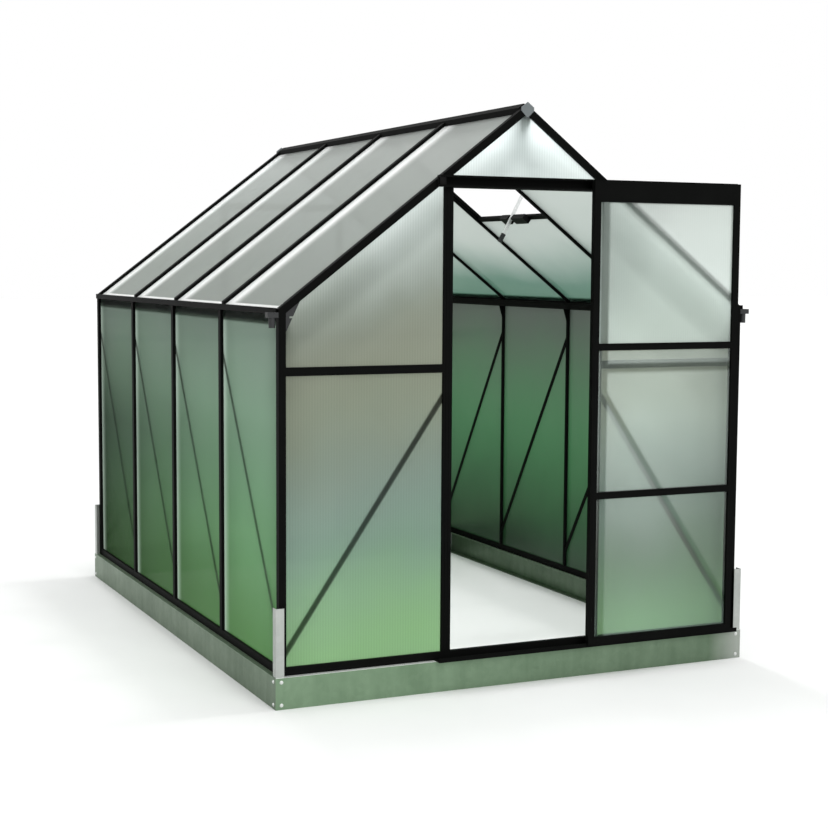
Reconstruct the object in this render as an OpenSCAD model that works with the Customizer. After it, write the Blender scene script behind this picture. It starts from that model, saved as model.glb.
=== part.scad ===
// Garden greenhouse: twin-wall sheets in slotted aluminium bars, on a folded steel base,
// with one sliding door hung in front of the gable and one roof vent propped open.
// Millimetres, Z up. The origin is on the ground, in the middle of the whole footprint.

/* [House] */
// Pitch of the bars along the side walls
bay_l = 622; // [560:2:680]
// Number of bays along the side walls
side_bays = 4; // [3:1:5]
// Pitch of the bars across the gable walls
bay_w = 604; // [590:2:640]
// Height of the roof's outer plane at the side walls
eave_h = 1350; // [1300:5:1420]
// Slope of the roof in degrees
roof_pitch = 37.5; // [35:0.5:39]

/* [Base] */
// Height of the folded steel base
base_h = 110; // [90:1:130]
// Sheet thickness of the base and of its corner angles
base_t = 2; // [1.5:0.1:3]
// How far the base stands out all round the frame
base_out = 20; // [12:1:24]
// Width of the base's top flange, under the sills
base_top = 50; // [40:1:60]
// Width of the base's bottom flange, on the ground
base_foot = 34; // [30:1:50]
// Height of the corner angles
angle_h = 346; // [280:2:400]
// Leg width of the corner angles
angle_leg = 32; // [30:1:45]

/* [Frame bars] */
// Face width of the wall and roof bars
bar_w = 26; // [24:1:30]
// Face width of the door jambs and of the matching bars in the back wall
jamb_w = 34; // [30:1:38]
// Face width of the corner posts and rafters
post_w = 26; // [25:0.5:28]
// Depth of a bar's solid outer head
head_d = 12; // [10:0.5:14]
// Width of the stem on the inside of a bar
stem_w = 12; // [10:1:14]
// Height of the sills
sill_h = 28; // [26:1:34]
// Height of the rails across the gable walls
rail_h = 29; // [27:1:34]
// Drop from the eaves to the underside of the middle rails in the gable walls
mid_rail_z = 224; // [200:2:290]
// Width of the flat diagonal braces
brace_w = 20; // [15:1:25]

/* [Sheets] */
// Thickness of the twin-wall sheets
pane_t = 4; // [3.5:0.1:4.5]
// How far a sheet's edge reaches into its slot
bite = 5; // [4:0.1:5.2]

/* [Gutter] */
// Width of the gutter outside the wall
gutter_w = 10; // [8:1:14]
// Depth of the gutter
gutter_h = 19; // [16:1:24]
// Length of the outlet pipes
spout_l = 34; // [20:1:60]

/* [Door] */
// Width of the sliding door
door_w = 626; // [600:2:640]
// Height of the track's underside above the eaves
track_z = 416; // [390:1:430]
// Height of the track
track_h = 40; // [36:1:44]
// How far the door stands open
door_open = 560; // [0:1:570]
// Face width of the door's stiles
stile_w = 26; // [24:1:32]
// Height of the door's top rail
top_rail_h = 77; // [66:1:90]
// Underside of the door's upper middle rail
door_upper_z = 1195; // [1150:1:1250]
// Underside of the door's lower middle rail
door_lower_z = 655; // [600:1:700]

/* [Roof vent] */
// Length of the vent's sash down the slope
vent_l = 555; // [500:5:600]
// Angle at which the sash stands open, from the roof's slope
vent_open = 28; // [24:1:32]

/* [Hidden] */

black = [0.11, 0.11, 0.11];
zinc = [0.55, 0.6, 0.56];
grey = [0.42, 0.45, 0.46];
clear = [0.72, 0.78, 0.74, 0.6];

// Sides that stand for a full circle
round_sides = 48;

// Plan of the frame: three bays across the gable, and an edge outside the outermost bar lines
gable_bays = 3;
edge = 20;
half_w = (gable_bays * bay_w) / 2 + edge;
half_l = (side_bays * bay_l) / 2 + edge;
jamb_x = bay_w / 2;
span = 2 * (half_l + half_w);

// Depths from a wall's outer face: head, slot for the sheet, inner flange, stem
gap = 0.3;
flange_t = 3.4;
flange_in = 3.5;
web_w = 8;
stem_out = 6;
slot_d = head_d + pane_t + 2 * gap;
wall_d = slot_d + flange_t;
stem_d = wall_d + stem_out;
pane_d = head_d + gap;

// Slots in the horizontal sections
sill_floor = 10;
rail_web = 11;
sill_top = base_h + sill_h;
header_drop = 2;
track_low = eave_h + track_z;
mid_low_z = eave_h - mid_rail_z;
header_z = track_low - header_drop;

// Roof lines: depth is square to the slope, and x is measured from the middle of the house
rise = tan(roof_pitch);
function roof_z(x, depth) = eave_h + (half_w - abs(x)) * rise - depth / cos(roof_pitch);
ridge_half = 20;
ridge_slot = 8;
ridge_h = 40;
ridge_lift = 6;

// Eaves: distances in from the wall's face
beam_in = 44;
floor_in = 20;
rest_in = 8;
rest_out = 14;
rest_t = 0.6;
beam_h = 28;
gutter_t = 2.5;
function rest_z(q) = roof_z(half_w - q, slot_d);
trough_z = rest_z(rest_in) - rest_t;
floor_z = trough_z - gutter_t;
beam_z = floor_z - beam_h;
outlet_r = 11;
tray_w = 38;
tray_h = 18;
tray_drop = 11;
tray_z = floor_z - tray_drop;

// Ends of the roof sheets along the slope
pane_s0 = (rest_in - head_d * sin(roof_pitch)) / cos(roof_pitch) + gap;
slot_end = 1;
ridge_inset = ridge_half - ridge_slot + slot_end;
pane_s1 = (half_w - ridge_inset - slot_d * sin(roof_pitch)) / cos(roof_pitch);

// Braces
brace_t = 2.5;
brace_drop = 135;
brace_lift = 67;
brace_top = beam_z - brace_drop;
brace_low = sill_top + brace_lift;
gable_brace_drop = 73;
gable_brace_lift = 41;
gable_brace_top = mid_low_z - gable_brace_drop;
gable_brace_low = sill_top + gable_brace_lift;
brace_in = 3;
brace_foot = wall_d + brace_in;

// Gussets and brackets
gusset_t = 2.5;
gusset_down = 72;
gusset_along = 55;
notch_in = 16;
notch_h = 6;
notch_down = 18;
bracket_h = 60;
bracket_t = 4;

// Door and track: distances out from the front wall's face
track_t = 2.5;
track_d = 30;
track_lip = 4;
track_over = 46;
track_left = -(jamb_x + track_over);
clearance = 5;
door_d = 22;
door_back = track_d + clearance;
door_front = door_back + door_d;
door_mid = door_back + door_d / 2;
door_lift = 8;
door_bottom = base_h + door_lift;
track_show = 3;
door_top = track_low + track_h - track_show;
travel_short = 60;
track_right = max(door_open, bay_w - travel_short) + door_w / 2 + clearance;
door_rail_h = 25;
door_foot_h = 30;
door_slot = 7;
guide_t = 2.5;
guide_lip = 13;
guide_room = 16;
guide_pocket = 14;
guide_right = half_w + base_out - angle_leg - clearance;
wheel_r = 12;
wheel_t = 9;
wheel_back = 13;
axle_r = 4;
hanger_in = 75;
hanger_x = door_w / 2 - hanger_in;

// Vent, in the second bay from the front on the right-hand slope
vent_y0 = -half_l + edge + bay_l + bar_w / 2;
vent_y1 = -half_l + edge + 2 * bay_l - bar_w / 2;
vent_play = 3;
vent_tilt = roof_pitch - vent_open;
sash_w = 22;
sash_t = 14;
sash_slot = 7;
sash_low = (sash_t - pane_t) / 2 - gap;
sash_high = (sash_t + pane_t) / 2 + gap;
vent_sill_w = 22;
vent_sill_d = 8;
vent_slot_play = 4;
hinge_z = roof_z(ridge_half, 0) - sash_t - 2 * gap;
vent_lap = 12;
vent_sill_s = (half_w - ridge_half) / cos(roof_pitch) - vent_l + vent_lap - vent_sill_w;
vent_mid = (vent_y0 + vent_y1) / 2;
stay_shift = 40;
stay_y = vent_mid - stay_shift;
stay_w = 14;
stay_t = 4;
stay_tail = 105;
peg_r = 3;
peg_out = 8;
peg_hold = 10;
peg_gap = 32;
peg_front = 104;
peg_back = 66;
peg_drop = 22;
peg_set = 2;
peg_s = vent_sill_s + vent_sill_w + peg_out;
peg_d = wall_d + peg_drop / 2;

// The house stands back from the middle of the footprint by half of what the door adds in front
house_y = (door_front - base_out) / 2;

// Frames of reference

front = "front";
right = "right";
back = "back";
left = "left";
function turn(side) = 90 * search([side], [front, right, back, left])[0];

// A wall seen from outside: x to the right, y inward from its outer face, z up
module wall(side) {
    rotate(turn(side))
        translate([0, side == front || side == back ? -half_l : -half_w, 0])
            children();
}

// A roof slope: x up the slope from the eave, y along the house, z out of the roof
module roof(side) {
    mirror([side == right ? 1 : 0, 0, 0])
        translate([-half_w, 0, eave_h])
            rotate([0, -roof_pitch, 0])
                children();
}

// The four corners of the plan, x and y inward
module each_corner() {
    for (mx = [0, 1], my = [0, 1])
        mirror([mx, 0, 0])
            mirror([0, my, 0])
                translate([-half_w, -half_l, 0])
                    children();
}

module site() {
    translate([0, house_y, 0])
        children();
}

// A section drawn in y and z, run along x
module along_x(x0, x1) {
    translate([x0, 0, 0])
        rotate([90, 0, 90])
            linear_extrude(x1 - x0)
                children();
}

// An outline drawn in x and z, run along y
module along_y(y0, y1) {
    translate([0, y1, 0])
        rotate([90, 0, 0])
            linear_extrude(y1 - y0)
                children();
}

module along_z(z0, z1) {
    translate([0, 0, z0])
        linear_extrude(z1 - z0)
            children();
}

// Sections

// Bar: head, slots for two sheets, inner flange and stem; across and depth
function bar_section(w) = [
    [-w / 2, 0], [w / 2, 0], [w / 2, head_d], [web_w / 2, head_d], [web_w / 2, slot_d],
    [w / 2 - flange_in, slot_d], [w / 2 - flange_in, wall_d], [stem_w / 2, wall_d],
    [stem_w / 2, stem_d], [-stem_w / 2, stem_d], [-stem_w / 2, wall_d],
    [flange_in - w / 2, wall_d], [flange_in - w / 2, slot_d], [-web_w / 2, slot_d],
    [-web_w / 2, head_d], [-w / 2, head_d]
];

// The bar's head and web alone, where it passes outside the eave beam
function head_section(w) = [
    [-w / 2, 0], [w / 2, 0], [w / 2, head_d], [web_w / 2, head_d], [web_w / 2, slot_d],
    [-web_w / 2, slot_d], [-web_w / 2, head_d], [-w / 2, head_d]
];

// Corner post and rafter: a solid corner with one slot each way
function corner_section() = [
    [0, 0], [post_w, 0], [post_w, head_d], [wall_d, head_d], [wall_d, slot_d], [post_w, slot_d],
    [post_w, wall_d], [wall_d, wall_d], [wall_d, post_w], [slot_d, post_w], [slot_d, wall_d],
    [head_d, wall_d], [head_d, post_w], [0, post_w]
];

// Sill: a slot that opens upward; depth and height
function sill_section(h) = [
    [0, 0], [wall_d, 0], [wall_d, h], [slot_d, h], [slot_d, sill_floor], [head_d, sill_floor],
    [head_d, h], [0, h]
];

// Rail: a slot above and a slot below; depth and height
function rail_section(h) = [
    [0, 0], [head_d, 0], [head_d, (h - rail_web) / 2], [slot_d, (h - rail_web) / 2], [slot_d, 0],
    [wall_d, 0], [wall_d, h], [slot_d, h], [slot_d, (h + rail_web) / 2],
    [head_d, (h + rail_web) / 2], [head_d, h], [0, h]
];

// Rest on the gutter's floor: a wedge under the ends of the roof sheets; depth and height
rest_section = [
    [rest_in, trough_z], [rest_out, trough_z], [rest_out, rest_z(rest_out)],
    [rest_in, rest_z(rest_in)]
];

// Half of the ridge beam, from its peak down the right-hand side
function ridge_side(x) = [
    [x * ridge_half, roof_z(ridge_half, 0) + ridge_lift],
    [x * ridge_half, roof_z(ridge_half, head_d)],
    [x * (ridge_half - ridge_slot), roof_z(ridge_half - ridge_slot, head_d)],
    [x * (ridge_half - ridge_slot), roof_z(ridge_half - ridge_slot, slot_d)],
    [x * ridge_half, roof_z(ridge_half, slot_d)],
    [x * ridge_half, roof_z(ridge_half, 0) - ridge_h]
];
function reversed(list) = [for (i = [len(list) - 1 : -1 : 0]) list[i]];
ridge_section = concat([[0, roof_z(0, 0) + ridge_lift]], ridge_side(1), reversed(ridge_side(-1)));

// Bar lines, as x along a wall seen from outside
side_lines = [for (i = [1 : side_bays - 1]) -half_l + edge + i * bay_l];
function side_line(i) = -half_l + edge + i * bay_l;

// Base

// Folded channel with mitred ends, proud of the wall above it, slotted where the angles stand up
module base_rail(wall_half) {
    half = wall_half + base_out;
    color(zinc)
        translate([0, -base_out, 0])
            difference() {
                intersection() {
                    along_x(-half, half)
                        polygon([
                            [0, 0], [base_foot, 0], [base_foot, base_t], [base_t, base_t],
                            [base_t, base_h - base_t], [base_top, base_h - base_t],
                            [base_top, base_h], [0, base_h]
                        ]);
                    along_z(0, base_h)
                        polygon([
                            [-half, 0], [half, 0], [half - base_top, base_top],
                            [base_top - half, base_top]
                        ]);
                }
                for (mx = [0, 1])
                    mirror([mx, 0, 0])
                        translate([-half, base_t, base_h - 2 * base_t])
                            cube([angle_leg + gap, base_t + gap, 3 * base_t]);
            }
}

module base_front() {
    site()
        wall(front)
            base_rail(half_w);
}

module base_back() {
    site()
        wall(back)
            base_rail(half_w);
}

module base_left() {
    site()
        wall(left)
            base_rail(half_l);
}

module base_right() {
    site()
        wall(right)
            base_rail(half_l);
}

// Angles inside the base's corners, which stand up through its top clear of the corner posts
module base_corner_angles() {
    color(zinc)
        site()
            each_corner()
                translate([-base_out, -base_out, 0])
                    along_z(base_t, angle_h)
                        polygon([
                            [base_t, base_t], [angle_leg, base_t], [angle_leg, 2 * base_t],
                            [2 * base_t, 2 * base_t], [2 * base_t, angle_leg], [base_t, angle_leg]
                        ]);
}

// Wall frame

module sill(half) {
    color(black)
        along_x(post_w - half, half - post_w)
            translate([0, base_h])
                polygon(sill_section(sill_h));
}

module front_sill() {
    site()
        wall(front)
            sill(half_w);
}

module back_sill() {
    site()
        wall(back)
            sill(half_w);
}

module side_sills() {
    site()
        for (side = [left, right])
            wall(side)
                sill(half_l);
}

// Everything above a roof plane at the given depth, in a corner's or a left slope's place
module above_roof(depth) {
    translate([-half_w, 0, roof_z(half_w, depth)])
        rotate([0, -roof_pitch, 0])
            translate([-span, -span, 0])
                cube(2 * span);
}

// Posts cut to the slope on top, where the slot for the roof sheet runs on from the rafter
module corner_posts() {
    color(black)
        site()
            for (mx = [0, 1], my = [0, 1])
                mirror([mx, 0, 0])
                    mirror([0, my, 0])
                        difference() {
                            translate([-half_w, -half_l, 0])
                                along_z(base_h, roof_z(half_w - 2 * post_w, 0))
                                    polygon(corner_section());
                            above_roof(0);
                            roof(left)
                                translate([pane_s0 - gap, wall_d - half_l, -slot_d])
                                    cube([2 * post_w, post_w, slot_d - head_d]);
                        }
}

module side_bars(side) {
    color(black)
        site()
            wall(side)
                for (x = side_lines)
                    translate([x, 0, 0])
                        union() {
                            along_z(sill_top, beam_z)
                                polygon(bar_section(bar_w));
                            along_z(beam_z, floor_z)
                                polygon(head_section(bar_w));
                        }
}

module left_wall_bars() {
    side_bars(left);
}

module right_wall_bars() {
    side_bars(right);
}

// Two uprights that run from the sill to the underside of the rafters
module gable_bars(side) {
    color(black)
        site()
            rotate(turn(side))
                for (mx = [0, 1])
                    mirror([mx, 0, 0])
                        difference() {
                            translate([-jamb_x, -half_l, 0])
                                along_z(sill_top, roof_z(jamb_x - jamb_w, 0))
                                    polygon(bar_section(jamb_w));
                            above_roof(post_w);
                        }
}

module door_jambs() {
    gable_bars(front);
}

module back_wall_bars() {
    gable_bars(back);
}

// Middle rails in the outer bays, and a header that carries the sheet under the peak
module gable_rails(side) {
    color(black)
        site()
            difference() {
                wall(side) {
                    for (mx = [0, 1])
                        mirror([mx, 0, 0])
                            along_x(post_w - half_w, -jamb_x - jamb_w / 2)
                                translate([0, mid_low_z])
                                    polygon(rail_section(rail_h));
                    along_x(jamb_w / 2 - jamb_x, jamb_x - jamb_w / 2)
                        translate([0, header_z])
                            polygon(side == front ? sill_section(sill_h) : rail_section(rail_h));
                    if (side == back)
                        along_x(jamb_w / 2 - jamb_x, jamb_x - jamb_w / 2)
                            translate([0, mid_low_z])
                                polygon(rail_section(rail_h));
                }
                for (mx = [0, 1])
                    mirror([mx, 0, 0])
                        above_roof(post_w);
            }
}

module front_rails() {
    gable_rails(front);
}

module back_rails() {
    gable_rails(back);
}

// Eaves and roof frame

// A section along both side walls, between the corner posts
module along_eaves() {
    color(black)
        site()
            for (side = [left, right])
                wall(side)
                    along_x(post_w - half_l, half_l - post_w)
                        children();
}

// Beam behind the wall sheets' top edges
module eave_beams() {
    along_eaves()
        translate([slot_d, beam_z])
            square([beam_in - slot_d, beam_h]);
}

module roof_rests() {
    along_eaves()
        polygon(rest_section);
}

// Shelf that lies on the beam and stands out over the wall sheets
module gutter_floors() {
    along_eaves()
        translate([-gutter_w, floor_z])
            square([gutter_w + floor_in, gutter_t]);
}

// Lips of the gutters, carried on above the outlets to the face of the front gable
module gutter_fronts() {
    color(black)
        site()
            for (mx = [0, 1])
                mirror([mx, 0, 0])
                    translate([-half_w - gutter_w, -half_l, 0])
                        difference() {
                            translate([0, 0, trough_z])
                                cube([gutter_t, 2 * half_l - post_w, gutter_h]);
                            translate([-gutter_t, -post_w, trough_z - gutter_h])
                                cube([3 * gutter_t, 2 * post_w, tray_z + tray_h + gap - trough_z + gutter_h]);
                        }
}

// Tray beside a corner post, open to the gutter's end, with a short pipe below
module outlet_tray() {
    difference() {
        union() {
            translate([-tray_w, 0, tray_z])
                cube([tray_w, post_w, tray_h]);
            translate([-tray_w / 2, post_w / 2, tray_z - spout_l])
                cylinder(r = outlet_r, h = spout_l + gutter_t, $fn = round_sides);
        }
        translate([gutter_t - tray_w, gutter_t, tray_z + gutter_t])
            cube([tray_w, post_w - 2 * gutter_t, tray_h]);
        translate([-gutter_w, post_w / 2, floor_z])
            cube([gutter_w, post_w, tray_h]);
        translate([-tray_w / 2, post_w / 2, tray_z - 2 * spout_l])
            cylinder(r = outlet_r - gutter_t, h = 3 * spout_l, $fn = round_sides);
    }
}

// Outlets at the front ends of the gutters, plain stops at their back ends
module gutter_outlets() {
    color(grey)
        site()
            for (mx = [0, 1])
                mirror([mx, 0, 0]) {
                    translate([-half_w, -half_l, 0])
                        outlet_tray();
                    translate([-half_w - gutter_w, half_l - post_w, floor_z])
                        cube([gutter_w, gutter_t, gutter_h + gutter_t]);
                }
}

// Cuts what runs along a left slope off square to the ground, and level with z0 below
module clip_slope(x0, x1, z0) {
    intersection() {
        children();
        translate([x0, -span, z0])
            cube([x1 - x0, 2 * span, span]);
    }
}

module rafters(side) {
    color(black)
        site()
            for (my = [0, 1])
                mirror([side == right ? 1 : 0, 0, 0])
                    mirror([0, my, 0])
                        clip_slope(post_w - half_w, 0, 0)
                            roof(left)
                                translate([0, -half_l, 0])
                                    along_x(0, 2 * half_w)
                                        polygon([for (c = corner_section()) [c[1], -c[0]]]);
}

module left_rafters() {
    rafters(left);
}

module right_rafters() {
    rafters(right);
}

module roof_bars(side) {
    color(black)
        site()
            mirror([side == right ? 1 : 0, 0, 0])
                for (y = side_lines)
                    clip_slope(rest_out - half_w, -ridge_half, trough_z)
                        roof(left)
                            translate([0, y, 0])
                                along_x(0, 2 * half_w)
                                    polygon([for (c = bar_section(bar_w)) [c[0], -c[1]]]);
}

module left_roof_bars() {
    roof_bars(left);
}

module right_roof_bars() {
    roof_bars(right);
}

module ridge_beam() {
    color(black)
        site()
            along_y(post_w - half_l, half_l - post_w)
                polygon(ridge_section);
}

// Cover over the end of the ridge, with a point below where the rafters meet
cap_half = 25;
cap_t = 3;
cap_side = 12;
cap_drop = 56;
cap_rise = 9;
cap_top = roof_z(0, 0) + cap_rise;
cap_shoulder = roof_z(cap_half, 0) + cap_rise;
module ridge_end_caps() {
    color(grey)
        site()
            for (side = [front, back])
                wall(side)
                    along_y(-cap_t, 0)
                        polygon([
                            [0, cap_top - cap_drop], [cap_half, cap_shoulder - cap_side],
                            [cap_half, cap_shoulder], [0, cap_top], [-cap_half, cap_shoulder],
                            [-cap_half, cap_shoulder - cap_side]
                        ]);
}

// Braces, gussets and brackets

// Flat bar against the inner flanges, with upright ends
module brace(x0, z0, x1, z1) {
    up = brace_w / 2 / cos(atan2(z1 - z0, x1 - x0));
    along_y(wall_d, wall_d + brace_t)
        polygon([[x0, z0 - up], [x1, z1 - up], [x1, z1 + up], [x0, z0 + up]]);
}

module side_braces(side) {
    color(black)
        site()
            wall(side)
                for (i = [0 : side_bays - 1])
                    brace(
                        i == 0 ? brace_foot - half_l : side_line(i) + stem_w / 2,
                        brace_top,
                        i == side_bays - 1 ? half_l - brace_foot : side_line(i + 1) - stem_w / 2,
                        brace_low
                    );
}

module left_wall_braces() {
    side_braces(left);
}

module right_wall_braces() {
    side_braces(right);
}

module gable_braces() {
    color(black)
        site()
            for (side = [front, back], mx = [0, 1])
                wall(side)
                    mirror([mx, 0, 0])
                        brace(
                            brace_foot - half_w,
                            gable_brace_low,
                            -jamb_x - stem_w / 2,
                            gable_brace_top
                        );
}

// Plates in the corner of post and rafter, just outside the sheet, notched at the free edge
module gable_gussets() {
    x = half_w - post_w;
    color(grey)
        site()
            for (side = [front, back], mx = [0, 1])
                wall(side)
                    mirror([mx, 0, 0])
                        along_y(head_d - gusset_t, head_d)
                            difference() {
                                polygon([
                                    [-x, roof_z(x, post_w)],
                                    [-x, roof_z(x, post_w) - gusset_down],
                                    [gusset_along - x, roof_z(x - gusset_along, post_w)]
                                ]);
                                translate([notch_in - x, roof_z(x, post_w) - notch_down])
                                    square([gusset_along, notch_h]);
                            }
}

// Knee plates where the wall bars meet the eave beam
module eave_brackets() {
    color(black)
        site()
            for (side = [left, right])
                wall(side)
                    for (x = side_lines)
                        along_x(x - bracket_t / 2, x + bracket_t / 2)
                            polygon([
                                [stem_d, beam_z],
                                [stem_d, beam_z - bracket_h],
                                [beam_in, beam_z]
                            ]);
}

// Sheets

// Upright sheet in a wall's slots, from an outline in x and z
module sheet() {
    along_y(pane_d, pane_d + pane_t)
        children();
}

module side_panes(side) {
    color(clear)
        site()
            wall(side)
                for (i = [0 : side_bays - 1]) {
                    inset = bar_w / 2 - bite;
                    x0 = i == 0 ? post_w - bite - half_l : side_line(i) + inset;
                    x1 = i == side_bays - 1 ? half_l - post_w + bite : side_line(i + 1) - inset;
                    sheet()
                        translate([x0, base_h + sill_floor + gap])
                            square([x1 - x0, floor_z - base_h - sill_floor - 2 * gap]);
                }
}

module left_wall_panes() {
    side_panes(left);
}

module right_wall_panes() {
    side_panes(right);
}

// Sheet in a gable's slots: an upright rectangle, cut to the slots of the rafters
module gable_sheet(x0, x1, z0, z1) {
    depth = post_w - bite;
    sheet()
        intersection() {
            translate([x0, z0])
                square([x1 - x0, z1 - z0]);
            polygon([
                [-half_w, 0], [half_w, 0], [half_w, roof_z(half_w, depth)], [0, roof_z(0, depth)],
                [-half_w, roof_z(half_w, depth)]
            ]);
        }
}

module gable_panes(side) {
    outer_x = half_w - post_w + bite;
    inner_x = jamb_x + jamb_w / 2 - bite;
    centre_x = jamb_x - jamb_w / 2 + bite;
    low_z = base_h + sill_floor + gap;
    mid_low = mid_low_z + bite;
    mid_high = mid_low_z + rail_h - bite;
    rail_slot = (rail_h - rail_web) / 2;
    peak_z = side == front ? header_z + sill_floor + gap : header_z + rail_h - rail_slot + gap;
    top_z = roof_z(0, 0);
    color(clear)
        site()
            wall(side) {
                for (mx = [0, 1])
                    mirror([mx, 0, 0]) {
                        gable_sheet(-outer_x, -inner_x, low_z, mid_low);
                        gable_sheet(-outer_x, -inner_x, mid_high, top_z);
                    }
                gable_sheet(-centre_x, centre_x, peak_z, top_z);
                if (side == back) {
                    gable_sheet(-centre_x, centre_x, low_z, mid_low);
                    gable_sheet(-centre_x, centre_x, mid_high, header_z + bite);
                }
            }
}

module front_wall_panes() {
    gable_panes(front);
}

module back_wall_panes() {
    gable_panes(back);
}

module roof_panes(side) {
    vent_bay = 1;
    color(clear)
        site()
            roof(side)
                for (i = [0 : side_bays - 1]) {
                    inset = bar_w / 2 - bite;
                    y0 = i == 0 ? post_w - bite - half_l : side_line(i) + inset;
                    y1 = i == side_bays - 1 ? half_l - post_w + bite : side_line(i + 1) - inset;
                    s1 = side == right && i == vent_bay ? vent_sill_s + bite : pane_s1;
                    translate([pane_s0, y0, -pane_d - pane_t])
                        cube([s1 - pane_s0, y1 - y0, pane_t]);
                }
}

module left_roof_panes() {
    roof_panes(left);
}

module right_roof_panes() {
    roof_panes(right);
}

// Roof vent

// Cross bar below the opening, with a slot for the sheet under it
module vent_sill() {
    slot = bite + vent_slot_play;
    color(black)
        site()
            roof(right)
                translate([vent_sill_s, 0, 0])
                    along_y(vent_y0, vent_y1)
                        polygon([
                            [0, -vent_sill_d], [vent_sill_w, -vent_sill_d],
                            [vent_sill_w, -wall_d], [0, -wall_d], [0, -slot_d], [slot, -slot_d],
                            [slot, -head_d], [0, -head_d]
                        ]);
}

// The open sash: x up the sash to its hinge line at the ridge, z out of it
module sash() {
    mirror([1, 0, 0])
        translate([-ridge_half, 0, hinge_z])
            rotate([0, -vent_tilt, 0])
                children();
}

module vent_rails() {
    color(black)
        site()
            sash()
                along_y(vent_y0 + vent_play, vent_y1 - vent_play) {
                    polygon([
                        [0, 0], [sash_t * tan(vent_tilt), sash_t], [-sash_w, sash_t],
                        [-sash_w, sash_high], [sash_slot - sash_w, sash_high],
                        [sash_slot - sash_w, sash_low], [-sash_w, sash_low], [-sash_w, 0]
                    ]);
                    polygon([
                        [-vent_l, 0], [sash_w - vent_l, 0], [sash_w - vent_l, sash_low],
                        [sash_w - sash_slot - vent_l, sash_low],
                        [sash_w - sash_slot - vent_l, sash_high], [sash_w - vent_l, sash_high],
                        [sash_w - vent_l, sash_t], [-vent_l, sash_t]
                    ]);
                }
}

module vent_stiles() {
    color(black)
        site()
            sash()
                translate([0, vent_mid, 0])
                    for (my = [0, 1])
                        mirror([0, my, 0])
                            translate([0, vent_y0 + vent_play - vent_mid, 0])
                                along_x(sash_w - vent_l, -sash_w)
                                    polygon([
                                        [0, 0], [sash_w, 0], [sash_w, sash_low],
                                        [sash_w - sash_slot, sash_low],
                                        [sash_w - sash_slot, sash_high], [sash_w, sash_high],
                                        [sash_w, sash_t], [0, sash_t]
                                    ]);
}

module vent_pane() {
    reach = sash_w - bite;
    color(clear)
        site()
            sash()
                translate([reach - vent_l, vent_y0 + vent_play + reach, sash_low + gap])
                    cube([
                        vent_l - 2 * reach,
                        vent_y1 - vent_y0 - 2 * (vent_play + reach),
                        pane_t
                    ]);
}

// Stay bar from the sash's lower rail, past a peg beside the vent sill, to a free tail
stay_head_x = ridge_half + (vent_l - sash_w / 2) * cos(vent_tilt);
stay_head_z = hinge_z - (vent_l - sash_w / 2) * sin(vent_tilt);
peg_x = half_w - peg_s * cos(roof_pitch) - peg_d * sin(roof_pitch);
peg_z = roof_z(half_w, 0) + peg_s * sin(roof_pitch) - peg_d * cos(roof_pitch);
stay_angle = atan2(stay_head_z - peg_z, stay_head_x - peg_x);
stay_reach = norm([stay_head_x - peg_x, stay_head_z - peg_z]);
hole_pitch = 45;
holes_below = 2;
holes_above = 3;
module vent_stay() {
    color(zinc)
        site()
            difference() {
                translate([peg_x, 0, peg_z])
                    rotate([0, -stay_angle, 0])
                        along_y(stay_y - stay_t / 2, stay_y + stay_t / 2)
                            difference() {
                                union() {
                                    translate([-stay_tail, -stay_w / 2])
                                        square([stay_tail + stay_reach + stay_w, stay_w]);
                                    translate([-stay_tail, 0])
                                        circle(d = stay_w, $fn = round_sides);
                                }
                                for (i = [-holes_below : holes_above])
                                    translate([i * hole_pitch, 0])
                                        circle(r = peg_r + gap, $fn = round_sides);
                            }
                sash()
                    translate([-span, -span, 0])
                        cube(2 * span);
            }
}

// Pin through the stay, held by a block on either side under the vent sill
module vent_peg() {
    front_y = stay_y - peg_gap / 2 - peg_front;
    back_y = stay_y + peg_gap / 2;
    low_s = vent_sill_s + peg_set;
    color(black)
        site()
            roof(right) {
                for (block = [[front_y, peg_front], [back_y, peg_back]])
                    translate([low_s, block[0], -wall_d - peg_drop])
                        cube([peg_s + peg_out - low_s, block[1], peg_drop]);
                translate([peg_s, back_y + peg_hold / 2, -peg_d])
                    rotate([90, 0, 0])
                        cylinder(r = peg_r, h = peg_gap + peg_hold, $fn = round_sides);
            }
}

// Door gear and door

// Channel that opens to the front, with a lip that keeps the wheels in
module door_track() {
    color(black)
        site()
            wall(front)
                along_x(track_left, track_right)
                    translate([0, track_low])
                        polygon([
                            [0, 0], [0, track_h], [-track_d, track_h],
                            [-track_d, track_h - track_t - track_lip],
                            [track_t - track_d, track_h - track_t - track_lip],
                            [track_t - track_d, track_h - track_t],
                            [-track_t, track_h - track_t], [-track_t, track_t],
                            [track_t - track_d, track_t], [track_t - track_d, track_t + track_lip],
                            [-track_d, track_t + track_lip], [-track_d, 0]
                        ]);
}

// Ledge and upright lip under the door, along its whole travel and on to the corner angle
module door_guide() {
    color(black)
        site()
            wall(front)
                along_x(track_left, guide_right)
                    translate([0, base_h])
                        polygon([
                            [0, 0], [0, guide_t], [guide_t / 2 - door_mid, guide_t],
                            [guide_t / 2 - door_mid, guide_t + guide_lip],
                            [-guide_t / 2 - door_mid, guide_t + guide_lip],
                            [-guide_t / 2 - door_mid, 0]
                        ]);
}

// The door in its open place: x from the door's middle, y out of the front wall's face
module door() {
    site()
        wall(front)
            translate([door_open, 0, 0])
                children();
}

door_pane_low = door_mid - pane_t / 2 - gap;
door_pane_high = door_mid + pane_t / 2 + gap;

// Room for the guide's lip, across the door's bottom edge
module guide_way() {
    translate([-door_w, -door_mid - guide_room / 2, door_bottom - guide_pocket])
        cube([2 * door_w, guide_room, 2 * guide_pocket]);
}

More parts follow.
